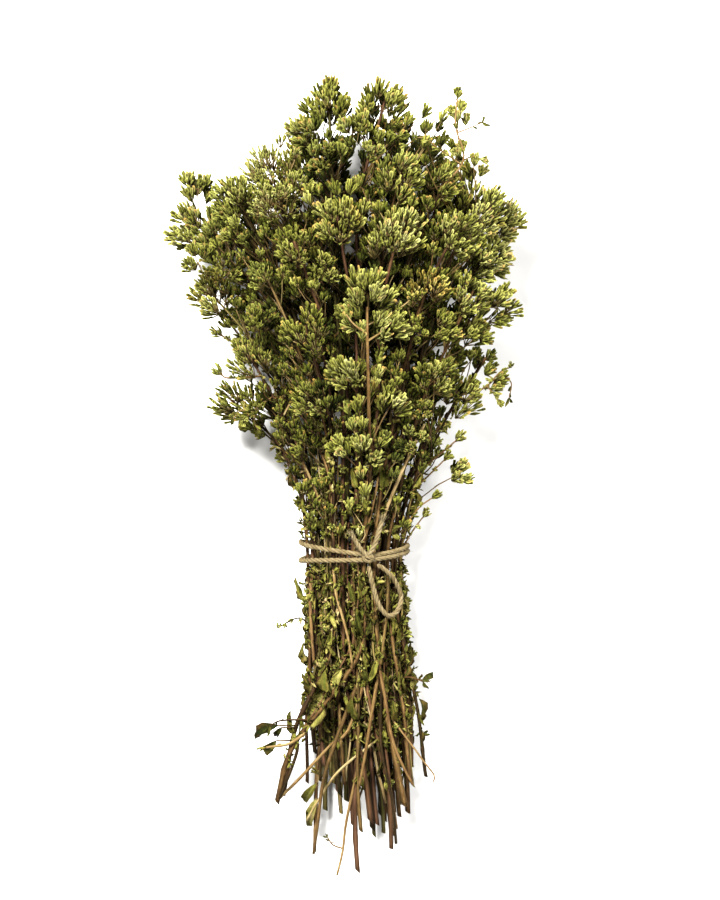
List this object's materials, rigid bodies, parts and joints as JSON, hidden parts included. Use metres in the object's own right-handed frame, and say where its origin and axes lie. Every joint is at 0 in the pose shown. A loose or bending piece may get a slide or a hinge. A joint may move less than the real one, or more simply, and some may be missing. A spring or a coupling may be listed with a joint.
{
  "type": "dried oregano bundle",
  "caption": "Dried oregano bundle lying on its back: spreading flower heads, leafy stems tied at the waist with twine in a half bow, and bare cut ends.",
  "frame": {"origin": "on the ground under the middle of the bundle's bounding box", "axes": "+Y from the cut ends towards the flower heads, +Z up from the ground it lies on to the side with the knot, +X to the right when looking down with +Y up"},
  "size_m": [0.1911, 0.4187, 0.1036],
  "materials": {
    "plant_tan": "dry matte",
    "plant_olive": "dry matte",
    "plant_green": "dry matte",
    "twine": "matte fibre"
  },
  "bodies": {
    "root": {"spray_01": "plant_tan", "spray_02": "plant_olive", "spray_03": "plant_green", "spray_04": "plant_tan", "spray_05": "plant_olive", "spray_06": "plant_green", "spray_07": "plant_tan", "spray_08": "plant_olive", "spray_09": "plant_green", "spray_10": "plant_tan", "spray_11": "plant_olive", "spray_12": "plant_green", "spray_13": "plant_tan", "spray_14": "plant_olive", "spray_15": "plant_green", "spray_16": "plant_tan", "spray_17": "plant_olive", "spray_18": "plant_green", "spray_19": "plant_tan", "spray_20": "plant_olive", "spray_21": "plant_green", "spray_22": "plant_tan", "spray_23": "plant_olive", "spray_24": "plant_green", "spray_25": "plant_tan", "spray_26": "plant_olive", "spray_27": "plant_green", "spray_28": "plant_tan", "spray_29": "plant_olive", "spray_30": "plant_green", "spray_31": "plant_tan", "spray_32": "plant_olive", "spray_33": "plant_green", "spray_34": "plant_tan", "spray_35": "plant_olive", "spray_36": "plant_green", "spray_37": "plant_tan", "spray_38": "plant_olive", "spray_39": "plant_green", "spray_40": "plant_tan", "spray_41": "plant_olive", "spray_42": "plant_green", "spray_43": "plant_tan", "twine": "twine", "twine_loop": "twine"}
  },
  "joints": []
}
